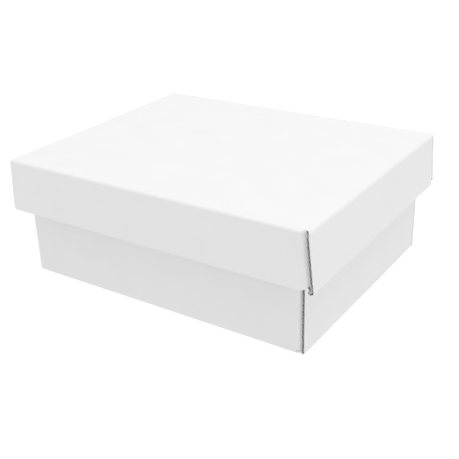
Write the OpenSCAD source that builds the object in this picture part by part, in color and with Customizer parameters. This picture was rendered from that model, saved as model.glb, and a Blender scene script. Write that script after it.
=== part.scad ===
// Jewelry gift box: two roll-end trays folded from corrugated board, one turned over as the
// lift-off lid of the other, with a loose jewelry pad inside.
// The length runs along X, the front wall faces -Y, and +Z is up. The origin is at the centre of
// the base's underside. Each tray is described open upwards, and the lid is that tray turned over.

/* [Board] */
// Thickness of the corrugated board
board_t = 1.6; // [1.2:0.1:2]

/* [Lid] */
// Outer length of the lid at its top panel
lid_l = 180; // [150:1:240]
// Outer width of the lid at its top panel
lid_w = 146.2; // [120:0.2:200]
// Depth of the lid's single front and back walls
lid_side_h = 28.8; // [22:0.2:36]
// Degrees that the lid's left end wall springs outwards
lid_left_flare = 4.5; // [0:0.5:6]
// Degrees that the lid's right end wall springs outwards
lid_right_flare = 4.5; // [0:0.5:6]
// Length of the lid's corner tabs
lid_tab_l = 34; // [20:1:45]

/* [Base] */
// Height of the closed box
box_h = 67.6; // [50:0.2:90]
// Play between the lid's end walls and the base, at each end
end_play = 0.3; // [0.2:0.1:2]
// Play between the lid's front and back walls and the base, at each side
side_play = 5; // [0.5:0.1:6]
// Length of the base's corner tabs
base_tab_l = 44; // [25:1:50]

/* [End walls] */
// How much narrower each end wall is than its tray, at each side
end_setback = 2; // [1.8:0.1:2.4]
// How far the right end wall sits towards the front, and the left one towards the back
end_skew = 1.8; // [1.6:0.1:1.8]
// How far the rolled rims stand past the free edges of the front and back walls
rim_rise = 1.3; // [1:0.1:2]

/* [Locks] */
// Width of each lock tab
lock_w = 20; // [12:1:26]
// Distance of each lock tab from the middle of its end wall
lock_y = 34; // [20:1:40]
// Play all round a lock tab in its slot
lock_play = 0.15; // [0.1:0.05:0.4]

/* [Pad] */
// Thickness of the pad's foam
foam_t = 22; // [14:1:30]
// Thickness of the velvet laid on the foam
velvet_t = 0.8; // [0.4:0.1:1.2]
// Play between the pad and the walls around it
pad_play = 0.8; // [0.5:0.1:2]
// Corner radius of the pad
pad_corner_r = 3; // [1:0.5:8]
// Radius of the thumb notch in the pad's front edge
thumb_r = 11; // [8:1:16]
// Length of each ring slit
ring_slit_l = 30; // [20:1:36]
// Distance between the ring slits
ring_slit_gap = 24; // [16:1:26]
// Length of each chain slit across the pad's back corners
chain_slit_l = 20; // [12:1:26]
// Distance of the chain slits from the pad's edges
chain_slit_inset = 20; // [16:1:30]
// Width of every slit
slit_w = 1.2; // [0.8:0.1:2]
// Depth of every slit in the foam
slit_depth = 15; // [8:1:20]

/* [Hidden] */
$fn = 48;
// Outer radius of the creases
crease_r = 1.25 * board_t;
// Air left between folded edges that pass each other
fold_gap = 0.1;
// Height of the corner tabs' lower edges above the end of the crease
tab_foot = 0.3;
// How far a corner tab tapers towards its free end
tab_taper = 5;
// How far the board runs, under the rolled rim, while it steps in past the corner tabs
rim_step = 1.5 * board_t;
// How far below the roll the corner tabs' upper edges start, from where they slope down to the step
tab_shoulder = 0.6;
// Where an end wall stops short of a side wall, the corner tab steps in behind it over this length
tab_step = 1.5;
// An end wall's outer board is layer 0, its corner tabs are layer 1 and its inner board is layer 2
OUTER = 0;
TAB = 1;
INNER = 2;
base_l = lid_l - 2 * (3 * board_t + end_play);
base_w = lid_w - 2 * (board_t + side_play);
// The base's rolled rims carry the lid's top panel
base_side_h = box_h - board_t - rim_rise;
pad_l = base_l - 6 * board_t - 2 * pad_play;
pad_w = base_w - 2 * board_t - 2 * pad_play;

// A tray is [half length, half width, side wall height, tab length, flares]
base_tray = [base_l / 2, base_w / 2, base_side_h, base_tab_l, [0, 0]];
lid_tray = [lid_l / 2, lid_w / 2, lid_side_h, lid_tab_l, [lid_left_flare, lid_right_flare]];
LEFT = -1;
RIGHT = 1;
FRONT = -1;
BACK = 1;

function half_l(tray) = tray[0];
function half_w(tray) = tray[1];
function side_h(tray) = tray[2];
function tab_l(tray) = tray[3];
function flare(tray, end) = end < 0 ? tray[4][0] : tray[4][1];

// Straight length of an end wall between its crease and its rolled rim
function end_wall_h(tray) = side_h(tray) + rim_rise - crease_r - board_t;

// Height of the inner board's straight part, under the step of the rim
function inner_wall_h(tray) = end_wall_h(tray) - rim_step;

// The inner side of a layer of the end wall
function layer_x(layer) = crease_r - (layer + 1) * board_t;

// An end wall is flush with the side wall that it sits towards
function is_flush(side, end) = side * end < 0;

// The centre of a corner's bend, in the frame of the end wall
function corner_x(side, end) = is_flush(side, end) ? -board_t : 0;

function outer_w(tray) = 2 * (half_w(tray) - end_setback);
function inner_w(tray) = 2 * (half_w(tray) - crease_r - fold_gap - end_skew);

// Where a side wall ends at height z, next to an end wall that leans out by its flare
function side_edge_x(tray, side, end, z) =
    half_l(tray) - crease_r + corner_x(side, end) / cos(flare(tray, end))
    + (z - crease_r) * tan(flare(tray, end));

// An XZ outline drawn out along Y
module along_y(length) {
    rotate([90, 0, 0]) linear_extrude(height = length, center = true) children();
}

// A YZ outline drawn out along X
module along_x(length) {
    rotate([90, 0, 90]) linear_extrude(height = length, center = true) children();
}

// The board's section where it bends from one angle to another
module bend(from, to) {
    reach = 2 * crease_r;
    middle = (from + to) / 2;
    intersection() {
        difference() {
            circle(r = crease_r);
            circle(r = crease_r - board_t);
        }
        polygon([[0, 0], for (angle = [from, middle, to]) reach * [cos(angle), sin(angle)]]);
    }
}

// Turns a shape made for the right end to the named end
module to_end(end) {
    mirror([end < 0 ? 1 : 0, 0, 0]) children();
}

// Turns a shape made for the front to the named side
module to_side(side) {
    mirror([0, side > 0 ? 1 : 0, 0]) children();
}

// The frame of an end wall: its origin is at the centre of the crease, and it leans out with the wall
module end_frame(tray, end) {
    to_end(end)
        translate([half_l(tray) - crease_r, 0, crease_r])
            rotate([0, flare(tray, end), 0])
                children();
}

// The frame of the folded wall itself, which sits a little off the middle of its end
module wall_frame(tray, end) {
    end_frame(tray, end) translate([0, -end * end_skew, 0]) children();
}

module panel(tray) {
    translate([0, 0, board_t / 2])
        cube([2 * (half_l(tray) - crease_r), 2 * (half_w(tray) - crease_r), board_t],
             center = true);
}

module side_wall(tray, side) {
    top = side_h(tray);
    to_side(side) {
        translate([0, crease_r - half_w(tray), crease_r])
            along_x(2 * (half_l(tray) - crease_r)) bend(180, 270);
        translate([0, board_t / 2 - half_w(tray), 0])
            along_y(board_t)
                polygon([
                    [-side_edge_x(tray, side, LEFT, crease_r), crease_r],
                    [side_edge_x(tray, side, RIGHT, crease_r), crease_r],
                    [side_edge_x(tray, side, RIGHT, top), top],
                    [-side_edge_x(tray, side, LEFT, top), top]
                ]);
    }
}

module outer_wall(tray, end) {
    end_frame(tray, end)
        along_y(outer_w(tray) + 2 * end_skew) bend(flare(tray, end) - 90, 0);
    wall_frame(tray, end)
        along_y(outer_w(tray)) translate([layer_x(OUTER), 0]) square([board_t, end_wall_h(tray)]);
}

// The rolled edge: the board turns over on itself, and steps in past the corner tabs
module rim(tray, end) {
    wall_frame(tray, end)
        translate([0, 0, end_wall_h(tray)]) {
            along_y(outer_w(tray))
                intersection() {
                    translate([layer_x(OUTER), 0]) circle(r = board_t);
                    translate([layer_x(TAB), 0]) square([2 * board_t, board_t]);
                }
            along_y(inner_w(tray))
                polygon([
                    [layer_x(OUTER), 0], [layer_x(TAB), 0],
                    [layer_x(INNER), -rim_step], [layer_x(TAB), -rim_step]
                ]);
        }
}

module inner_wall(tray, end) {
    foot = board_t - crease_r;
    wall_frame(tray, end)
        translate([layer_x(INNER), -inner_w(tray) / 2, foot])
            cube([board_t, inner_w(tray), inner_wall_h(tray) - foot]);
}

// The section of a corner tab from its bend on
module tab_outline(tray, flush) {
    step = flush ? 0 : tab_step;
    if (!flush)
        polygon([
            [layer_x(OUTER), 0], [crease_r, 0], [layer_x(OUTER), step], [layer_x(TAB), step]
        ]);
    translate([layer_x(TAB), step]) square([board_t, tab_l(tray) - step]);
}

// A corner tab folds off a side wall and lies between the two boards of the end wall
module corner_tab(tray, side, end) {
    foot = tab_foot;
    top = inner_wall_h(tray) - fold_gap;
    shoulder = end_wall_h(tray) - tab_shoulder;
    root = crease_r - half_w(tray);
    tip = root + tab_l(tray);
    to_side(side)
        end_frame(tray, end)
            intersection() {
                linear_extrude(height = shoulder) {
                    translate([corner_x(side, end), root]) bend(-90, 0);
                    translate([0, root]) tab_outline(tray, is_flush(side, end));
                }
                along_x(4 * crease_r)
                    polygon([
                        [-half_w(tray), foot], [tip - tab_taper, foot], [tip, foot + tab_taper],
                        [tip, top - tab_taper], [tip - tab_taper, top], [root, top],
                        [-half_w(tray), shoulder]
                    ]);
            }
}

// The tongues on a base inner wall that drop through the slots in the bottom
module lock_tabs(tray, end) {
    wall_frame(tray, end)
        for (way = [FRONT, BACK])
            translate([layer_x(INNER), way * lock_y - lock_w / 2, fold_gap - crease_r])
                cube([board_t, lock_w, board_t]);
}

module lock_slots(tray) {
    for (end = [LEFT, RIGHT])
        wall_frame(tray, end)
            for (way = [FRONT, BACK])
                translate([layer_x(INNER) - lock_play, way * lock_y - lock_w / 2 - lock_play,
                           -2 * crease_r])
                    cube([board_t + 2 * lock_play, lock_w + 2 * lock_play, 2 * crease_r]);
}

// Turns a tray over and sets it on the base's rims
module as_lid() {
    translate([0, 0, box_h]) mirror([0, 0, 1]) children();
}

// The pad's outline, with the thumb notch in its front edge
module pad_outline() {
    difference() {
        union() {
            square([pad_l - 2 * pad_corner_r, pad_w], center = true);
            square([pad_l, pad_w - 2 * pad_corner_r], center = true);
            for (x = [-1, 1], y = [-1, 1])
                translate([x * (pad_l / 2 - pad_corner_r), y * (pad_w / 2 - pad_corner_r)])
                    circle(r = pad_corner_r);
        }
        translate([0, -pad_w / 2]) circle(r = thumb_r);
    }
}

// Three slits for rings in a row, and a slit across each back corner for a chain
module slit_outlines() {
    for (i = [-1, 0, 1])
        translate([0, i * ring_slit_gap]) square([ring_slit_l, slit_w], center = true);
    for (way = [LEFT, RIGHT])
        translate([way * (pad_l / 2 - chain_slit_inset), pad_w / 2 - chain_slit_inset])
            rotate(-45 * way) square([chain_slit_l, slit_w], center = true);
}

module base_bottom() {
    color("white")
        difference() {
            panel(base_tray);
            lock_slots(base_tray);
        }
}

module base_front_wall() { color("white") side_wall(base_tray, FRONT); }
module base_back_wall() { color("white") side_wall(base_tray, BACK); }
module base_left_outer_wall() { color("white") outer_wall(base_tray, LEFT); }
module base_left_rim() { color("white") rim(base_tray, LEFT); }
module base_right_outer_wall() { color("white") outer_wall(base_tray, RIGHT); }
module base_right_rim() { color("white") rim(base_tray, RIGHT); }

module base_left_inner_wall() {
    color("whitesmoke") {
        inner_wall(base_tray, LEFT);
        lock_tabs(base_tray, LEFT);
    }
}

module base_right_inner_wall() {
    color("whitesmoke") {
        inner_wall(base_tray, RIGHT);
        lock_tabs(base_tray, RIGHT);
    }
}

module base_front_left_tab() { color("whitesmoke") corner_tab(base_tray, FRONT, LEFT); }
module base_front_right_tab() { color("whitesmoke") corner_tab(base_tray, FRONT, RIGHT); }
module base_back_left_tab() { color("whitesmoke") corner_tab(base_tray, BACK, LEFT); }
module base_back_right_tab() { color("whitesmoke") corner_tab(base_tray, BACK, RIGHT); }

module lid_top() { color("white") as_lid() panel(lid_tray); }
module lid_front_wall() { color("white") as_lid() side_wall(lid_tray, FRONT); }
module lid_back_wall() { color("white") as_lid() side_wall(lid_tray, BACK); }
module lid_left_outer_wall() { color("white") as_lid() outer_wall(lid_tray, LEFT); }
module lid_left_rim() { color("white") as_lid() rim(lid_tray, LEFT); }
module lid_left_inner_wall() { color("whitesmoke") as_lid() inner_wall(lid_tray, LEFT); }
module lid_right_outer_wall() { color("white") as_lid() outer_wall(lid_tray, RIGHT); }
module lid_right_rim() { color("white") as_lid() rim(lid_tray, RIGHT); }
module lid_right_inner_wall() { color("whitesmoke") as_lid() inner_wall(lid_tray, RIGHT); }
module lid_front_left_tab() { color("whitesmoke") as_lid() corner_tab(lid_tray, FRONT, LEFT); }
module lid_front_right_tab() { color("whitesmoke") as_lid() corner_tab(lid_tray, FRONT, RIGHT); }
module lid_back_left_tab() { color("whitesmoke") as_lid() corner_tab(lid_tray, BACK, LEFT); }
module lid_back_right_tab() { color("whitesmoke") as_lid() corner_tab(lid_tray, BACK, RIGHT); }

module pad_foam() {
    color("gainsboro")
        translate([0, 0, board_t])
            difference() {
                linear_extrude(height = foam_t) pad_outline();
                translate([0, 0, foam_t - slit_depth])
                    linear_extrude(height = slit_depth + 1) slit_outlines();
            }
}

module pad_velvet() {
    color("ivory")
        translate([0, 0, board_t + foam_t])
            linear_extrude(height = velvet_t)
                difference() {
                    pad_outline();
                    slit_outlines();
                }
}

base_bottom();
base_front_wall();
base_back_wall();
base_left_outer_wall();
base_left_rim();
base_left_inner_wall();
base_right_outer_wall();
base_right_rim();
base_right_inner_wall();
base_front_left_tab();
base_front_right_tab();
base_back_left_tab();
base_back_right_tab();
lid_top();
lid_front_wall();
lid_back_wall();
lid_left_outer_wall();
lid_left_rim();
lid_left_inner_wall();
lid_right_outer_wall();
lid_right_rim();
lid_right_inner_wall();
lid_front_left_tab();
lid_front_right_tab();
lid_back_left_tab();
lid_back_right_tab();
pad_foam();
pad_velvet();
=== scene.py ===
"""A white corrugated gift box for jewelry: two folded roll-end trays, the lid over the base, and a pad.

Every board is built as it is made: two liners with a wavy medium between them, folded along the
blank's creases. The sheets are laid out by their own length and width, so that the flutes run
through the folds and show at each cut edge.
"""
import math

import bpy
import numpy as np
from mathutils import Matrix, Vector
from mathutils.geometry import delaunay_2d_cdt


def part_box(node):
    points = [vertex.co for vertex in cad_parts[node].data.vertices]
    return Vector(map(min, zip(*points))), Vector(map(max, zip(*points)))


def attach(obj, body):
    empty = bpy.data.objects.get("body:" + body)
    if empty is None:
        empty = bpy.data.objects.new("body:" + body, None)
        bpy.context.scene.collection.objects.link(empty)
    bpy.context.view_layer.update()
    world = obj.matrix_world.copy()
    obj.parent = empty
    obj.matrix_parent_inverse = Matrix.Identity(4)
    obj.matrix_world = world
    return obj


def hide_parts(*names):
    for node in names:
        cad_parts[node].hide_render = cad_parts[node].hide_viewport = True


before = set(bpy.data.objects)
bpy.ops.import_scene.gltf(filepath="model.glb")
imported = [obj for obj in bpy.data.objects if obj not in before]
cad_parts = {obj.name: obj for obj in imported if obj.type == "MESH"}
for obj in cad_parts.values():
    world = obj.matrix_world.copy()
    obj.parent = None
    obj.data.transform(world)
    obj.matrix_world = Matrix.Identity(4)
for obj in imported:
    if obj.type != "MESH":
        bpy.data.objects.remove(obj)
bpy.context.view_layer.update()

MM = 0.001
LEFT, RIGHT = -1, 1
FRONT, BACK = -1, 1
SIDES = ((FRONT, "front"), (BACK, "back"))
ENDS = ((LEFT, "left"), (RIGHT, "right"))

# ---- The camera -------------------------------------------------------------------------------
CAMERA_AT = Vector((0.23223, -0.34121, 0.21382))
CAMERA_TOWARDS = Vector((0.01844, -0.0264, 0.033))
CAMERA_ROLL = math.radians(-1.897)
CAMERA_LENS = 63.186
CAMERA_SENSOR = 36

# ---- The board --------------------------------------------------------------------------------
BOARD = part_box("base_bottom")[1].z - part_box("base_bottom")[0].z
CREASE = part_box("base_right_outer_wall")[1].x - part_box("base_bottom")[1].x
LINER = 0.22 * MM
MEDIUM = 0.2 * MM
FLUTE_PITCH = 3.4 * MM
FLUTE_STEPS = 10
MEDIUM_RECESS = 0.15 * MM
FOLD_STEPS = 10
CORNER_STEPS = 8
SHEET_STEP = 6 * MM
MEDIUM_STEP = 22 * MM
# How much of the board's thickness is pressed out where it is folded flat on itself
RIM_CRUSH = 0.25
RIM_CRUSH_REACH = 1.2 * MM
SHARP_ANGLE = math.radians(32)
# How far the folded sheets stray from true, and over what distance
WARP = 0.1 * MM
WARP_WAVES = 0.11
WARP_FREE_HEIGHT = 20 * MM
# The lid's right end wall leans out further at the front than at the back
LID_TWIST = math.tan(math.radians(1.15))

# ---- The folded trays' smaller sizes, as in the CAD source --------------------------------------
FOLD_GAP = 0.1 * MM
# How high a corner tab's foot stands above the end of the crease
TAB_SLIT = 0.3 * MM
TAB_TAPER = 5 * MM
TAB_SHOULDER = 0.6 * MM
TAB_STEP = 1.5 * MM
# How far an end wall stays inside the outer face of the side wall that it is flush with
CORNER_GAP = 0.2 * MM
RIM_STEP = 1.5 * BOARD
LOCK_WIDTH = 20 * MM
LOCK_PLACE = 34 * MM
LOCK_PLAY = 0.15 * MM

# ---- The corners' smaller sizes that differ from the CAD, to look like the photo -----------------
# Most corner tabs have no slit under them: their feet run a little way into the crease
CLOSED_SLIT = -0.02 * MM
# The power of the sine that shapes the slanted cut at a flush corner
SLANT = 3
# The outer radius of the bend at a flush corner, and how far it stands off the end wall
BASE_BEND = 2.8 * MM
LID_BEND = 3.8 * MM
LID_GAPE = 0.35 * MM


# ---- Materials --------------------------------------------------------------------------------
# The shares of a noise at which a mottled colour is darkest and lightest
MOTTLE = (0.3, 0.7)
# The materials of a sheet of board, in the order of its slots
FACE_SLOT, LINING_SLOT, EDGE_SLOT, FLUTING_SLOT = range(4)


class Nodes:
    """A material's node tree, with short ways to add to it."""

    def __init__(self, name):
        self.material = bpy.data.materials.new(name)
        self.material.use_nodes = True
        self.tree = self.material.node_tree
        self.shader = self.tree.nodes["Principled BSDF"]
        self.place = self.add("ShaderNodeTexCoord").outputs["Object"]

    def add(self, kind, **values):
        node = self.tree.nodes.new(kind)
        for key, value in values.items():
            if key in node.inputs:
                node.inputs[key].default_value = value
            else:
                setattr(node, key, value)
        return node

    def join(self, out, socket):
        self.tree.links.new(out, socket)

    def noise(self, scale, detail=3.0):
        noise = self.add("ShaderNodeTexNoise", Scale=scale, Detail=detail)
        self.join(self.place, noise.inputs["Vector"])
        return noise.outputs["Fac"]

    def shade(self, factor, dark, light):
        """The base colour, mottled from dark to light by a factor from 0 to 1."""
        ramp = self.add("ShaderNodeValToRGB")
        for element, at, colour in zip(ramp.color_ramp.elements, MOTTLE, (dark, light)):
            element.position = at
            element.color = (*colour, 1)
        self.join(factor, ramp.inputs["Fac"])
        self.join(ramp.outputs["Color"], self.shader.inputs["Base Color"])

    def vary(self, factor, low, high, socket):
        spread = self.add("ShaderNodeMapRange")
        spread.inputs["To Min"].default_value = low
        spread.inputs["To Max"].default_value = high
        self.join(factor, spread.inputs["Value"])
        self.join(spread.outputs["Result"], self.shader.inputs[socket])

    def bump(self, height, distance, strength=1.0):
        """Adds one layer of relief on top of those added before."""
        node = self.add("ShaderNodeBump", Strength=strength, Distance=distance)
        self.join(height, node.inputs["Height"])
        socket = self.shader.inputs["Normal"]
        if socket.is_linked:
            self.join(socket.links[0].from_socket, node.inputs["Normal"])
        self.join(node.outputs["Normal"], socket)


def paper(name, light, dark, roughness, specular, flutes_along=None):
    """White paper with fine fibres, and the faint ridges of the flutes glued under it."""
    nodes = Nodes(name)
    nodes.shade(nodes.noise(60.0, 4.0), dark, light)
    nodes.vary(nodes.noise(900.0, 3.0), roughness - 0.06, roughness + 0.06, "Roughness")
    nodes.shader.inputs["Specular IOR Level"].default_value = specular
    nodes.bump(nodes.noise(2600.0, 4.0), 0.03 * MM, 0.5)
    nodes.bump(nodes.noise(35.0, 2.0), 0.25 * MM, 0.25)
    if flutes_along is not None:
        wave = nodes.add("ShaderNodeTexWave", wave_type="BANDS", bands_direction=flutes_along)
        # The node's bands repeat every tau / 20, divided by its scale
        wave.inputs["Scale"].default_value = math.tau / (20 * FLUTE_PITCH)
        wave.inputs["Distortion"].default_value = 0.6
        wave.inputs["Detail Scale"].default_value = 0.4
        nodes.join(nodes.place, wave.inputs["Vector"])
        nodes.bump(wave.outputs["Fac"], 0.02 * MM, 0.35)
    return nodes.material


def raw_edge(name, light, dark):
    """Cut paper, where its fibres are open."""
    nodes = Nodes(name)
    nodes.shade(nodes.noise(2200.0, 4.0), dark, light)
    nodes.shader.inputs["Roughness"].default_value = 0.92
    nodes.shader.inputs["Specular IOR Level"].default_value = 0.2
    nodes.bump(nodes.noise(3500.0, 3.0), 0.05 * MM, 0.7)
    return nodes.material


def grey(value):
    return (value, value, value)


FACE_X = paper("white_liner_across", grey(0.87), grey(0.855), 0.52, 0.35, "X")
FACE_Z = paper("white_liner_upright", grey(0.87), grey(0.855), 0.52, 0.35, "Z")
LINING = paper("white_lining", grey(0.84), grey(0.82), 0.75, 0.25)
EDGE = raw_edge("cut_paper", grey(0.7), grey(0.52))
FLUTING = raw_edge("fluting", grey(0.66), grey(0.5))


# ---- Sheets -----------------------------------------------------------------------------------
class Path:
    """A line of straight runs and round folds, measured by its length. Its outer side is on the
    right of the way it runs."""

    def __init__(self):
        self.parts = []
        self.length = 0.0

    def _append(self, length, steps, at):
        self.parts.append((self.length, self.length + length, steps, at))
        self.length += length
        return self

    def line(self, start, end, steps=None):
        start, end = np.array(start, float), np.array(end, float)
        length = np.linalg.norm(end - start)
        way = (end - start) / length
        outwards = np.array((way[1], -way[0]))
        steps = steps or math.ceil(length / SHEET_STEP)
        return self._append(length, steps, lambda d: (start + d * way, outwards + 0 * d))

    def arc(self, centre, radius, start, end, steps=FOLD_STEPS):
        centre = np.array(centre, float)

        def at(d):
            angle = start + d / radius
            outwards = np.concatenate((np.cos(angle), np.sin(angle)), -1)
            return centre + radius * outwards, outwards

        return self._append(radius * (end - start), steps, at)

    def at(self, s):
        """Points on the line, and the ways that face out of it there."""
        s = np.asarray(s, float)[..., None]
        points = np.zeros(s.shape[:-1] + (2,))
        outwards = np.zeros_like(points)
        for begin, end, _, at in self.parts:
            within = (s >= begin - 1e-9) & (s <= end + 1e-9)
            found = at(s - begin)
            points = np.where(within, found[0], points)
            outwards = np.where(within, found[1], outwards)
        return points, outwards

    def runs(self, first=0, last=None):
        """The runs of some of its parts, as stations() takes them."""
        return [(begin, end, (end - begin) / steps) for begin, end, steps, _ in self.parts[first:last]]


def stations(runs, finest=math.inf):
    """Places along a sheet, from runs of (start, end, step)."""
    places = [runs[0][0]]
    for start, end, step in runs:
        count = math.ceil((end - start) / min(step, finest) - 1e-6)
        places += list(np.linspace(start, end, max(1, count) + 1)[1:])
    return np.array(places)


def even(start, end, step=SHEET_STEP, breaks=()):
    """Runs from start to end that stop at each break."""
    stops = [start, *sorted(b for b in breaks if start < b < end), end]
    return [(a, b, step) for a, b in zip(stops, stops[1:])]


def skin(upper, lower, keep):
    """A closed skin between two grids of points, over the cells that are kept: its points, its
    faces, and which of the faces are its cut edges."""
    rows, columns = upper.shape[:2]
    half = rows * columns
    index = np.arange(half).reshape(rows, columns)
    cells = np.stack((index[:-1, :-1], index[1:, :-1], index[1:, 1:], index[:-1, 1:]), -1)
    faces = [cells[keep], cells[keep][:, ::-1] + half]
    edges = []
    around = np.pad(keep, 1)
    for down, along, p, q in ((-1, 0, 3, 0), (1, 0, 1, 2), (0, -1, 0, 1), (0, 1, 2, 3)):
        beyond = around[1 + down:rows + down, 1 + along:columns + along]
        cell = cells[keep & ~beyond]
        edges.append(np.stack((cell[:, q], cell[:, p], cell[:, p] + half, cell[:, q] + half), -1))
    points = np.concatenate((upper.reshape(-1, 3), lower.reshape(-1, 3)))
    flat = np.concatenate(faces)
    cut = np.concatenate(edges)
    return points, np.concatenate((flat, cut)), np.arange(len(flat) + len(cut)) >= len(flat)


def facing_out(points, faces):
    """The faces, turned so that a closed skin holds a positive volume."""
    a, b, c, d = (points[faces[:, i]] for i in range(4))
    volume = np.einsum("ij,ij->", a, np.cross(b, c)) + np.einsum("ij,ij->", a, np.cross(c, d))
    return faces if volume > 0 else faces[:, ::-1]


def mesh_object(name, skins, materials):
    """One object from several closed skins, each with the material number of every face."""
    points, faces, numbers, used_so_far = [], [], [], 0
    for skin_points, skin_faces, skin_numbers in skins:
        skin_faces = facing_out(skin_points, skin_faces)
        used, renumbered = np.unique(skin_faces, return_inverse=True)
        points.append(skin_points[used])
        faces.append(renumbered.reshape(-1, 4) + used_so_far)
        numbers.append(skin_numbers)
        used_so_far += len(used)
    mesh = bpy.data.meshes.new(name)
    mesh.from_pydata(np.concatenate(points).tolist(), [], np.concatenate(faces).tolist())
    mesh.polygons.foreach_set("material_index", np.concatenate(numbers).astype(np.int32))
    for material in materials:
        mesh.materials.append(material)
    return shown(name, mesh)


def shown(name, mesh):
    mesh.polygons.foreach_set("use_smooth", [True] * len(mesh.polygons))
    mesh.set_sharp_from_angle(angle=SHARP_ANGLE)
    piece = bpy.data.objects.new(name, mesh)
    bpy.context.scene.collection.objects.link(piece)
    return piece


def everywhere(s, w):
    return np.ones(np.broadcast(s, w).shape, bool)


def corrugated(name, along, across, place, face, kept=everywhere):
    """A sheet of corrugated board. Its flutes repeat along its first direction and run along its
    second. place(s, w, n) gives the point at s along and w across it, n out from its middle."""
    s, w = stations(along), stations(across)
    fine = stations(along, FLUTE_PITCH / FLUTE_STEPS)
    coarse = across
    if len(across) == 1:
        # Nothing breaks the sheet up across, so the medium needs few points that way
        start, end, step = across[0]
        coarse = [(start, end, max(step, min(end - start, MEDIUM_STEP)))]
    fine_w = stations(coarse)
    fine_w[0] += MEDIUM_RECESS
    fine_w[-1] -= MEDIUM_RECESS

    def kept_cells(s, w):
        return kept((s[:-1] + s[1:])[:, None] / 2, (w[:-1] + w[1:])[None, :] / 2)

    skins = []
    for outer, slot in ((BOARD / 2, FACE_SLOT), (-BOARD / 2, LINING_SLOT)):
        inner = outer - math.copysign(LINER, outer)
        points, faces, cut = skin(
            place(s[:, None], w[None, :], outer), place(s[:, None], w[None, :], inner),
            kept_cells(s, w))
        skins.append((points, faces, np.where(cut, EDGE_SLOT, slot)))
    swing = BOARD / 2 - LINER - MEDIUM / 2
    wave = swing * np.cos(math.tau * fine / FLUTE_PITCH)[:, None]
    points, faces, _ = skin(
        place(fine[:, None], fine_w[None, :], wave + MEDIUM / 2),
        place(fine[:, None], fine_w[None, :], wave - MEDIUM / 2), kept_cells(fine, fine_w))
    skins.append((points, faces, np.full(len(faces), FLUTING_SLOT)))
    return mesh_object(name, skins, (face, LINING, EDGE, FLUTING))


def warped(points):
    """The points, moved as folded board strays from true: by a fraction of a millimetre, slowly
    changing from place to place."""
    x, y, z = (math.tau * points[..., i] / WARP_WAVES for i in range(3))
    shift = np.stack((
        np.sin(0.9 * y + 0.7 * z + 0.4) + 0.5 * np.sin(2.1 * y - 1.3 * z),
        np.sin(0.8 * x + 0.9 * z + 1.7) + 0.5 * np.sin(1.9 * x + 1.1 * z + 2.0),
        np.sin(0.7 * x + 0.8 * y + 2.9) + 0.5 * np.sin(1.7 * x - 1.4 * y + 0.6)), -1)
    off_floor = np.clip(points[..., 2:] / WARP_FREE_HEIGHT, 0, 1)
    level = np.ones(off_floor.shape[:-1] + (2,))
    return points + WARP / 2 * shift * np.concatenate((level, off_floor), -1)


# ---- Trays ------------------------------------------------------------------------------------
def is_flush(side, end):
    """Each end wall sits towards one side wall, and is flush with it."""
    return side * end < 0


class Tray:
    """One folded roll-end tray, measured from the CAD. It is described open upwards from its
    panel's outer face, and the lid is turned over."""

    def __init__(self, body, panel, turned, twist, bend, gape, slit):
        self.body = body
        self.turned = turned
        self.twist = twist
        self.bend = bend
        self.gape = gape
        self.slit = slit
        low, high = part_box(panel)
        self.floor = high.z if turned else low.z
        self.half_l = high.x + CREASE
        self.half_w = high.y + CREASE
        self.side_h = self.height(f"{body}_front_wall")
        self.tab_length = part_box(f"{body}_front_left_tab")[1].y + self.half_w - CREASE
        self.lean, self.wall_h = {}, {}
        for end, word in ENDS:
            self.lean[end], self.wall_h[end] = self.lean_and_height(end, f"{body}_{word}_rim")

    def height(self, node):
        low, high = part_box(node)
        return self.floor - low.z if self.turned else high.z - self.floor

    def lean_and_height(self, end, rim):
        """How far an end wall leans out, and how long it is up to its roll."""
        out = max(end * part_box(rim)[0].x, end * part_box(rim)[1].x) - BOARD - (self.half_l - CREASE)
        up = self.height(rim) - BOARD - CREASE
        fold = CREASE - BOARD
        wall_h = math.sqrt(out * out + up * up - fold * fold)
        return math.atan2(out, up) - math.atan2(fold, wall_h), wall_h

    def corner(self, side, end):
        """A corner bend's outer radius, and its centre's place out from that of the end wall's crease.
        Next to an end wall that is flush with the side wall, the bend stays inside that wall."""
        inside = CREASE - BOARD - self.bend - self.gape
        return (self.bend, inside) if is_flush(side, end) else (CREASE, 0.0)

    def side_edge(self, side, end, z):
        """Where a side wall ends at height z, next to a leaning end wall."""
        lean = self.lean[end]
        bend_at = self.corner(side, end)[1]
        return self.half_l - CREASE + bend_at / math.cos(lean) + (z - CREASE) * math.tan(lean)

    def row(self, x, y, z):
        """A point of the tray in the row frame."""
        x, y, z = np.broadcast_arrays(x, y, z)
        near_end = np.clip(x / self.half_l, 0, 1)
        twist = self.twist * np.maximum(z - CREASE, 0) * y / self.half_w
        x = x - twist * near_end * near_end * (3 - 2 * near_end)
        return warped(np.stack((x, y, self.floor - z if self.turned else self.floor + z), -1))

    def end_row(self, end, out, y, up):
        """A point given by its place in an end wall: out and up from its crease's centre."""
        lean = self.lean[end]
        x = self.half_l - CREASE + out * math.cos(lean) + up * math.sin(lean)
        return self.row(end * x, y, CREASE - out * math.sin(lean) + up * math.cos(lean))


def crease_then_wall(centre, start, height):
    """The middle line of a board that bends up through its crease."""
    x, y = centre
    middle = CREASE - BOARD / 2
    return Path().arc(centre, middle, start, 0).line((x + middle, y), (x + middle, y + height))


# The parts of an end wall's line, in order; the base's ends with its lock tabs
CREASE_PART, WALL_PART, ROLL_PART, STEP_PART, INNER_PART = range(5)


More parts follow.
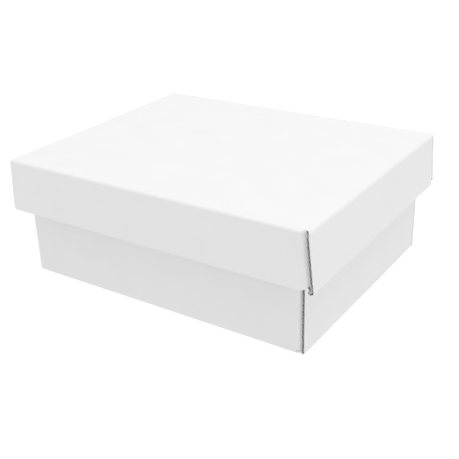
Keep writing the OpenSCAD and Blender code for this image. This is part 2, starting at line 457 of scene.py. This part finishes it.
def end_path(tray, end):
    """The middle line of an end wall: up from its crease, over the roll, past the corner tabs, and
    down inside."""
    top = tray.wall_h[end]
    half = BOARD / 2
    inside = CREASE - 2.5 * BOARD
    path = crease_then_wall((0, 0), tray.lean[end] - math.pi / 2, top)
    path.arc((CREASE - BOARD, top), half, 0, math.pi)
    path.line((CREASE - 1.5 * BOARD, top), (inside, top - RIM_STEP), 6)
    path.line((inside, top - RIM_STEP), (inside, BOARD - CREASE))
    if tray.body == "base":
        path.line((inside, BOARD - CREASE), (inside, FOLD_GAP - CREASE), 2)
    return path


def rounded_corner(tray, end, creased, points, s, y):
    """An end wall's crease at the panel's corners: places out, up and along Y. It is drawn in to a
    ball, or where the wall is flush with the side wall, cut off slantwise."""
    root = tray.half_w - CREASE
    side = np.sign(y)
    past = np.clip((np.abs(y) - root) / (CREASE - CORNER_GAP), 0, 1)
    in_corner = (past > 0) & (s < creased + 1e-9)
    slant = is_flush(side, end)
    up_crease = np.clip(s / creased, 0, 1)
    scale = np.where(in_corner & ~np.array(slant), np.cos(past * math.pi / 2), 1)
    beyond = np.where(slant, (np.abs(y) - root) * np.sin(up_crease * math.pi / 2) ** SLANT,
                      np.hypot(points[..., 0], points[..., 1]) * np.sin(past * math.pi / 2))
    y = np.where(in_corner, side * (root + beyond), y)
    return points[..., 0] * scale, points[..., 1] * scale, y


def crush(path, s):
    """How much of its thickness the board keeps at s, pressed where it is rolled over."""
    begin, end = path.parts[ROLL_PART][:2]
    outside = np.maximum(np.maximum(begin - s, s - end), 0)
    near = np.clip(1 - outside / RIM_CRUSH_REACH, 0, 1)
    return 1 - RIM_CRUSH * near * near * (3 - 2 * near)


def finish_piece(piece, body, node):
    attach(piece, body)
    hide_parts(node)
    return piece


def middle_and_half(node):
    """The middle and the half width of a node along Y."""
    low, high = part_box(node)
    return (low.y + high.y) / 2, (high.y - low.y) / 2


def lock_breaks(middle, play):
    return [middle + way * LOCK_PLACE + edge * (LOCK_WIDTH / 2 + play)
            for way in (-1, 1) for edge in (-1, 1)]


def in_locks(y, middle, play):
    return np.abs(np.abs(y - middle) - LOCK_PLACE) < LOCK_WIDTH / 2 + play


def make_panel(tray, node):
    half_x, half_y = tray.half_l - CREASE, tray.half_w - CREASE
    across, x_breaks, y_breaks = {}, [], []
    if tray.body == "base":
        slot_out = half_x + CREASE - 2 * BOARD + LOCK_PLAY
        slot_in = half_x + CREASE - 3 * BOARD - LOCK_PLAY
        across = {end: middle_and_half(f"base_{word}_inner_wall")[0] for end, word in ENDS}
        x_breaks = [-slot_out, -slot_in, slot_in, slot_out]
        y_breaks = [y for middle in across.values() for y in lock_breaks(middle, LOCK_PLAY)]

    def place(x, y, out):
        return tray.row(x, y, BOARD / 2 - out)

    def kept(x, y):
        whole = everywhere(x, y)
        for end, middle in across.items():
            in_strip = (end * x > slot_in) & (end * x < slot_out)
            whole &= ~(in_strip & in_locks(y, middle, LOCK_PLAY))
        return whole

    piece = corrugated(f"{node}_board", even(-half_x, half_x, breaks=x_breaks),
                       even(-half_y, half_y, breaks=y_breaks), place, FACE_X, kept)
    return finish_piece(piece, tray.body, node)


def make_side_wall(tray, side, word):
    """A front or back wall of single board, with the crease that joins it to the panel."""
    path = crease_then_wall((tray.half_w - CREASE, CREASE), -math.pi / 2, tray.side_h - CREASE)
    crease_end = path.parts[0][1]
    low = {end: tray.side_edge(side, end, CREASE) for end in (LEFT, RIGHT)}
    ear = tray.half_l - CREASE
    flush_low = min(low.values())

    def place(s, w, out):
        points, outwards = path.at(w)
        q, z = (points[..., i] + out * outwards[..., i] for i in (0, 1))
        height = np.maximum(z, CREASE)
        on_wall = np.clip(s, -low[LEFT], low[RIGHT])
        share = (on_wall + low[LEFT]) / (low[LEFT] + low[RIGHT])
        right, left = (tray.side_edge(side, end, height) for end in (RIGHT, LEFT))
        leaning = right * share - left * (1 - share)
        # Past the wall's end its crease is drawn in, from the panel's edge to the corner's bend
        past = (s - on_wall) / (ear - flush_low)
        reach = tray.bend * np.hypot(q - (tray.half_w - CREASE), z - CREASE) / CREASE
        up_crease = np.clip(w / crease_end, 0, 1)
        drawn_in = up_crease * (1 - np.cos(past * math.pi / 2))
        beyond = (1 - up_crease) * (s - on_wall) + up_crease * reach * np.sin(past * math.pi / 2)
        return tray.row(leaning + beyond, side * (q - (q - (tray.half_w - tray.bend)) * drawn_in),
                        z - (z - CREASE) * drawn_in)

    def kept(s, w):
        return (w < crease_end) | ((s > -low[LEFT]) & (s < low[RIGHT]))

    corners = [end * (low[end] + part / CORNER_STEPS * (ear - low[end]))
               for end in (LEFT, RIGHT) if low[end] < ear for part in range(CORNER_STEPS)]
    along = even(-ear, ear, breaks=corners)
    piece = corrugated(f"{tray.body}_{word}_wall_board", along, path.runs(), place, FACE_X, kept)
    return finish_piece(piece, tray.body, f"{tray.body}_{word}_wall")


def make_end_wall(tray, end, word):
    """An end wall: the outer board, the rolled rim and the inner board."""
    path = end_path(tray, end)
    creased, rolled, foot = (path.parts[part][1] for part in (CREASE_PART, ROLL_PART, INNER_PART))
    name = f"{tray.body}_{word}"
    whole = middle_and_half(f"{name}_outer_wall")[1]
    middle, wide = middle_and_half(f"{name}_rim")
    narrow = middle_and_half(f"{name}_inner_wall")[1]

    def place(s, y, out):
        points, outwards = path.at(s)
        out = BOARD / 2 - (BOARD / 2 - out) * crush(path, s)
        s, y, out = np.broadcast_arrays(s, y, out)
        points = points + out[..., None] * outwards
        out, up, y = rounded_corner(tray, end, creased, points, s, y)
        return tray.end_row(end, out, y, up)

    def kept(s, y):
        in_wall = (s < creased) | (np.abs(y - middle) < wide)
        in_inner = (s < rolled) | (np.abs(y - middle) < narrow)
        return in_wall & in_inner & ((s < foot) | in_locks(y, middle, 0))

    wall = (middle - wide, middle + wide)
    inner = (middle - narrow, middle + narrow)
    root = tray.half_w - CREASE
    corners = [side * (root + part / CORNER_STEPS * (whole - root))
               for side in (FRONT, BACK) for part in range(CORNER_STEPS)]
    for part, first, last, (start, stop), breaks, slot in (
            ("outer_wall", CREASE_PART, ROLL_PART, (-whole, whole), [*wall, *corners], "white_board"),
            ("rim", ROLL_PART, INNER_PART, wall, inner, "white_board"),
            ("inner_wall", INNER_PART, None, inner, lock_breaks(middle, 0), "white_board_inner")):
        piece = corrugated(f"{name}_{part}_board", path.runs(first, last),
                           even(start, stop, breaks=breaks), place, FACE_Z, kept)
        finish_piece(piece, tray.body, f"{name}_{part}")


def make_corner_tab(tray, side, side_word, end, end_word):
    """The tab that folds off a side wall and lies between the boards of an end wall."""
    bend, bend_at = tray.corner(side, end)
    root = bend - tray.half_w
    middle = CREASE - BOARD / 2
    tip = (middle - BOARD, CREASE - tray.half_w + tray.tab_length)
    path = Path().arc((bend_at, root), bend - BOARD / 2, -math.pi / 2, 0)
    foot = CLOSED_SLIT
    if is_flush(side, end):
        foot = tray.slit
        path.line((bend_at + bend - BOARD / 2, root), tip)
    else:
        path.line((middle, root), (middle - BOARD, root + TAB_STEP), 3)
        path.line((middle - BOARD, root + TAB_STEP), tip)
    top = tray.wall_h[end] - RIM_STEP - FOLD_GAP
    shoulder = tray.wall_h[end] - TAB_SHOULDER

    def place(s, w, out):
        points, outwards = path.at(s)
        y = points[..., 1] + out * outwards[..., 1]
        to_root = np.clip((y + tray.half_w) / CREASE, 0, 1)
        taper = np.maximum(s - (path.length - TAB_TAPER), 0)
        upper = shoulder + to_root * (top - shoulder) - taper
        x = points[..., 0] + out * outwards[..., 0]
        low = foot + taper + np.minimum(x, 0) * math.tan(tray.lean[end])
        return tray.end_row(end, x, -side * y, low * (1 - w) + upper * w)

    along = path.runs(0, -1) + even(path.parts[-1][0], path.length, breaks=(path.length - TAB_TAPER,))
    node = f"{tray.body}_{side_word}_{end_word}_tab"
    piece = corrugated(f"{node}_board", along, [(0.0, 1.0, 0.2)], place, FACE_X)
    return finish_piece(piece, tray.body, node)


def make_tray(body, panel, **shape):
    tray = Tray(body, panel, **shape)
    make_panel(tray, panel)
    for side, side_word in SIDES:
        make_side_wall(tray, side, side_word)
        for end, end_word in ENDS:
            make_corner_tab(tray, side, side_word, end, end_word)
    for end, word in ENDS:
        make_end_wall(tray, end, word)


make_tray("base", "base_bottom", turned=False, twist=0, bend=BASE_BEND, gape=0, slit=TAB_SLIT)
make_tray("lid", "lid_top", turned=True, twist=LID_TWIST, bend=LID_BEND, gape=LID_GAPE,
          slit=CLOSED_SLIT)


# ---- The pad ----------------------------------------------------------------------------------
PAD_LOW, PAD_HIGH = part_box("pad_foam")
PAD_X, PAD_Y = PAD_HIGH.x, PAD_HIGH.y
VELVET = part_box("pad_velvet")[1].z - PAD_HIGH.z
PAD_CORNER = 3 * MM
THUMB = 11 * MM
RING_SLIT, RING_GAP = 30 * MM, 24 * MM
CHAIN_SLIT, CHAIN_INSET = 20 * MM, 20 * MM
SLIT_WIDTH = 1.2 * MM
SLIT_DEPTH = 15 * MM
PAD_STEP = 2 * MM
# How far the pad's top drops at its edges and slits, and how far in from them that starts
EDGE_DROP = 0.7 * MM
EDGE_REACH = 1.4 * MM
EDGE_RINGS = (0.06, 0.2, 0.45, 0.75, 1.0)
RING_TOLERANCE = 0.01 * MM
CORNER_POINTS = 6
THUMB_POINTS = 30
# How uneven the foam's top is, and over what distances
UNEVEN = 0.1 * MM
UNEVEN_X, UNEVEN_Y = 17 * MM, 13 * MM
FOAM_BOTTOM_ROUND = 0.6 * MM
FOAM_WALL_ROWS = 6
# The share of its thickness that the velvet keeps where it is cut
VELVET_CUT = 0.5
# Each slit's middle, its turn and its length
SLITS = [(0, row * RING_GAP, 0, RING_SLIT) for row in (-1, 0, 1)]
SLITS += [(way * (PAD_X - CHAIN_INSET), PAD_Y - CHAIN_INSET, -way * math.pi / 4, CHAIN_SLIT)
          for way in (LEFT, RIGHT)]


def outside_slit(slit, x, y):
    """How far a place is from a slit, and less than nothing inside it."""
    middle_x, middle_y, turn, length = slit
    x, y = x - middle_x, y - middle_y
    u = np.abs(x * math.cos(turn) + y * math.sin(turn)) - length / 2
    v = np.abs(y * math.cos(turn) - x * math.sin(turn)) - SLIT_WIDTH / 2
    return np.hypot(np.maximum(u, 0), np.maximum(v, 0)) + np.minimum(np.maximum(u, v), 0)


def inside_outline(x, y):
    """How far a place is in from the pad's outline."""
    u, v = np.abs(x) - (PAD_X - PAD_CORNER), np.abs(y) - (PAD_Y - PAD_CORNER)
    inside = PAD_CORNER - np.hypot(np.maximum(u, 0), np.maximum(v, 0)) - np.minimum(np.maximum(u, v), 0)
    return np.minimum(inside, np.hypot(x, y + PAD_Y) - THUMB)


def inside_pad(x, y):
    """How far a place is in from the nearest edge of the pad, slits included."""
    return np.minimum(inside_outline(x, y), np.min([outside_slit(slit, x, y) for slit in SLITS], 0))


def inwards(x, y):
    """The way from an edge of the pad into it."""
    reach = 0.02 * MM
    way = np.stack((inside_pad(x + reach, y) - inside_pad(x - reach, y),
                    inside_pad(x, y + reach) - inside_pad(x, y - reach)), -1)
    return way / np.maximum(np.linalg.norm(way, axis=-1, keepdims=True), 1e-12)


def round_points(middle, radius, start, end, count):
    angles = np.linspace(start, end, count + 1)
    return np.array(middle) + radius * np.stack((np.cos(angles), np.sin(angles)), -1)


def loop_through(corners):
    """A closed line through some points, with more points along its long sides."""
    corners = np.array(corners)
    points = []
    for a, b in zip(corners, np.roll(corners, -1, axis=0)):
        count = max(1, math.ceil(np.linalg.norm(b - a) / PAD_STEP))
        points.append(a + (b - a) * (np.arange(count) / count)[:, None])
    return np.concatenate(points)


def pad_loops():
    turns = ((1, -1, -0.5), (1, 1, 0), (-1, 1, 0.5), (-1, -1, 1))
    outline = [round_points((x * (PAD_X - PAD_CORNER), y * (PAD_Y - PAD_CORNER)), PAD_CORNER,
                            math.pi * start, math.pi * (start + 0.5), CORNER_POINTS)
               for x, y, start in turns]
    outline.append(round_points((0, -PAD_Y), THUMB, math.pi, 0, THUMB_POINTS))
    loops = [loop_through(np.concatenate(outline))]
    for middle_x, middle_y, turn, length in SLITS:
        along = np.array((math.cos(turn), math.sin(turn))) * length / 2
        across = np.array((-math.sin(turn), math.cos(turn))) * SLIT_WIDTH / 2
        loops.append(np.array((middle_x, middle_y)) + loop_through(
            (-along - across, along - across, along + across, across - along)))
    return loops


def pad_triangles():
    """The pad seen from above: its points, and the triangles in it and in its slits."""
    loops = pad_loops()
    edges, points = [], []
    for loop in loops:
        first, count = sum(map(len, points)), len(loop)
        edges += [(first + i, first + (i + 1) % count) for i in range(count)]
        points.append(loop)
    around = np.concatenate(loops)
    for ring in EDGE_RINGS:
        depth = ring * EDGE_REACH
        moved = around + depth * inwards(*around.T)
        points.append(moved[np.abs(inside_pad(*moved.T) - depth) < RING_TOLERANCE])
    columns, rows = (np.arange(-half, half, PAD_STEP) for half in (PAD_X, PAD_Y))
    grid = np.stack(np.meshgrid(columns, rows), -1).reshape(-1, 2)
    points.append(grid[inside_pad(*grid.T) > EDGE_REACH + PAD_STEP / 3])
    found = delaunay_2d_cdt([Vector(p) for p in np.concatenate(points)], edges, [], 0, 1e-7)
    points, triangles = np.array(found[0]), np.array(found[2])
    middles = points[triangles].mean(axis=1)
    in_outline = inside_outline(*middles.T) > 0
    in_pad = inside_pad(*middles.T) > 0
    return points, triangles[in_pad], triangles[in_outline & ~in_pad]


def rim_edges(triangles):
    """The edges that only one of the triangles has, each in its triangle's direction."""
    edges = np.concatenate([triangles[:, (i, (i + 1) % 3)] for i in range(3)])
    known = {(a, b) for a, b in edges.tolist()}
    return [(a, b) for a, b in edges.tolist() if (b, a) not in known]


def soft_top(points):
    """How the foam's top lies: a little uneven, and lower at its edges and slits."""
    x, y = points.T
    near = 1 - np.clip(inside_pad(x, y) / EDGE_REACH, 0, 1)
    uneven = np.sin(x / UNEVEN_X + 0.8) * np.sin(y / UNEVEN_Y + 0.3) - 1
    return PAD_HIGH.z - EDGE_DROP * (1 - np.sqrt(1 - near * near)) + UNEVEN * uneven


def pad_piece(name, points, faces, material, node):
    mesh = bpy.data.meshes.new(name)
    mesh.from_pydata(points.tolist(), [], faces)
    mesh.materials.append(material)
    return finish_piece(shown(name, mesh), "pad", node)


def at_height(points, z):
    return np.column_stack((points, np.broadcast_to(z, len(points))))


def make_foam(points, triangles, in_slits, material):
    """The foam block, with its slits cut part of the way down."""
    count = len(points)
    slit_edges = {(b, a) for a, b in rim_edges(in_slits)}
    on_outline = np.abs(inside_outline(*points.T)) < 1e-6
    drawn_in = points + FOAM_BOTTOM_ROUND * on_outline[:, None] * inwards(*points.T)
    top = soft_top(points)
    slit_floor = PAD_HIGH.z - SLIT_DEPTH
    low = PAD_LOW.z + FOAM_BOTTOM_ROUND
    levels = [at_height(points, top), at_height(points, slit_floor), at_height(drawn_in, PAD_LOW.z)]
    levels += [at_height(points, top + (low - top) * row / FOAM_WALL_ROWS)
               for row in range(1, FOAM_WALL_ROWS + 1)]
    faces = triangles.tolist() + (in_slits + count).tolist()
    faces += (np.concatenate((triangles, in_slits))[:, ::-1] + 2 * count).tolist()
    down = [0, *range(3, 3 + FOAM_WALL_ROWS), 2]
    for a, b in rim_edges(triangles):
        rows = [0, 1] if (a, b) in slit_edges else down
        faces += [(a + u * count, a + v * count, b + v * count, b + u * count)
                  for u, v in zip(rows, rows[1:])]
    used, faces = only_used(np.concatenate(levels), faces)
    foam = pad_piece("pad_foam_block", used, faces, material, "pad_foam")
    return foam


def only_used(points, faces):
    """The points that some face has, and the faces renumbered to match."""
    used = sorted({i for face in faces for i in face})
    number = {old: new for new, old in enumerate(used)}
    return points[used], [tuple(number[i] for i in face) for face in faces]


def make_velvet(points, triangles, material):
    """The velvet laid on the foam, thinner where it is cut."""
    count = len(points)
    under = soft_top(points)
    at_cut = 1 - np.clip(inside_pad(*points.T) / EDGE_REACH, 0, 1)
    over = under + VELVET * (1 - (1 - VELVET_CUT) * at_cut * at_cut)
    faces = triangles.tolist() + (triangles[:, ::-1] + count).tolist()
    faces += [(a, a + count, b + count, b) for a, b in rim_edges(triangles)]
    used, faces = only_used(np.concatenate((at_height(points, over), at_height(points, under))), faces)
    velvet = pad_piece("pad_velvet_cover", used, faces, material, "pad_velvet")


def foam_material():
    nodes = Nodes("pale_foam")
    nodes.shade(nodes.noise(300.0, 5.0), (0.74, 0.73, 0.7), (0.83, 0.82, 0.8))
    nodes.shader.inputs["Roughness"].default_value = 0.95
    nodes.shader.inputs["Specular IOR Level"].default_value = 0.15
    nodes.bump(nodes.noise(1400.0, 3.0), 0.3 * MM, 0.7)
    return nodes.material


def velvet_material():
    nodes = Nodes("ivory_velvet")
    nodes.shade(nodes.noise(45.0, 4.0), (0.73, 0.69, 0.61), (0.8, 0.765, 0.69))
    nodes.shader.inputs["Roughness"].default_value = 0.9
    nodes.shader.inputs["Specular IOR Level"].default_value = 0.15
    nodes.shader.inputs["Sheen Weight"].default_value = 0.5
    nodes.shader.inputs["Sheen Roughness"].default_value = 0.35
    nodes.bump(nodes.noise(90.0, 3.0), 0.3 * MM, 0.3)
    nodes.bump(nodes.noise(4000.0, 3.0), 0.1 * MM, 0.8)
    return nodes.material


def make_pad():
    points, triangles, in_slits = pad_triangles()
    foam = make_foam(points, triangles, in_slits, foam_material())
    make_velvet(points, triangles, velvet_material())


make_pad()


# ---- The room ---------------------------------------------------------------------------------
FLOOR_HALF = 30.0
FLOOR_DROP = 0.2 * MM
FLOOR_GREY = 0.2
FLOOR_GLOW = 0.88
SKY = 0.54
HORIZON_GLOW = 1.0
# How high a direction points where the horizon's glow starts to fade, and where only sky is left
HORIZON = (0.03, 0.08)
OVERHEAD_AT, OVERHEAD_SIZE, OVERHEAD_WATTS = (0.1, 0.1, 1.6), 1.6, 16.9
SIDE_AT, SIDE_SIZE, SIDE_WATTS = (1.4, -0.3, 0.7), 1.2, 0.4
BOX_MIDDLE = (0, 0, 0.04)


def look_along(ahead, roll):
    """A camera's turn, from where it looks and how far it rolls."""
    level = ahead.cross(Vector((0, 0, 1))).normalized()
    right = level * math.cos(roll) + level.cross(ahead) * math.sin(roll)
    return Matrix((right, right.cross(ahead), -ahead)).transposed()


def make_camera():
    camera = bpy.data.objects.new("camera", bpy.data.cameras.new("camera"))
    bpy.context.scene.collection.objects.link(camera)
    camera.data.lens = CAMERA_LENS
    camera.data.sensor_width = CAMERA_SENSOR
    turn = look_along((CAMERA_TOWARDS - CAMERA_AT).normalized(), CAMERA_ROLL)
    camera.matrix_world = Matrix.LocRotScale(CAMERA_AT, turn.to_quaternion(), None)
    bpy.context.scene.camera = camera


def make_light(name, place, towards, size, power):
    light = bpy.data.lights.new(name, "AREA")
    light.shape = "DISK"
    light.size = size
    light.energy = power
    lamp = bpy.data.objects.new(name, light)
    bpy.context.scene.collection.objects.link(lamp)
    ahead = (Vector(towards) - Vector(place)).normalized()
    lamp.matrix_world = Matrix.LocRotScale(Vector(place), ahead.to_track_quat("-Z", "Y"), None)


def make_floor():
    mesh = bpy.data.meshes.new("floor")
    corners = ((-1, -1), (1, -1), (1, 1), (-1, 1))
    points = [(x * FLOOR_HALF, y * FLOOR_HALF, -FLOOR_DROP) for x, y in corners]
    mesh.from_pydata(points, [], [(0, 1, 2, 3)])
    floor = bpy.data.objects.new("floor", mesh)
    bpy.context.scene.collection.objects.link(floor)
    nodes = Nodes("pale_floor")
    nodes.shader.inputs["Base Color"].default_value = (*grey(FLOOR_GREY), 1)
    nodes.shader.inputs["Roughness"].default_value = 0.9
    nodes.shader.inputs["Specular IOR Level"].default_value = 0.1
    nodes.shader.inputs["Emission Color"].default_value = (1, 1, 1, 1)
    nodes.shader.inputs["Emission Strength"].default_value = FLOOR_GLOW
    mesh.materials.append(nodes.material)


def make_room():
    world = bpy.data.worlds.new("studio")
    bpy.context.scene.world = world
    world.use_nodes = True
    tree = world.node_tree
    sky = tree.nodes["Background"]
    sky.inputs["Color"].default_value = (1, 1, 1, 1)
    # The room is as pale as its floor where the two meet
    way = tree.nodes.new("ShaderNodeTexCoord")
    height = tree.nodes.new("ShaderNodeSeparateXYZ")
    strength = tree.nodes.new("ShaderNodeMapRange")
    for socket, value in zip(("From Min", "From Max", "To Min", "To Max"), (*HORIZON, HORIZON_GLOW, SKY)):
        strength.inputs[socket].default_value = value
    tree.links.new(way.outputs["Generated"], height.inputs["Vector"])
    tree.links.new(height.outputs["Z"], strength.inputs["Value"])
    tree.links.new(strength.outputs["Result"], sky.inputs["Strength"])
    make_light("overhead", OVERHEAD_AT, (0, 0, 0), OVERHEAD_SIZE, OVERHEAD_WATTS)
    make_light("right_side", SIDE_AT, BOX_MIDDLE, SIDE_SIZE, SIDE_WATTS)
    make_floor()
    bpy.context.scene.view_settings.view_transform = "Standard"


make_camera()
make_room()
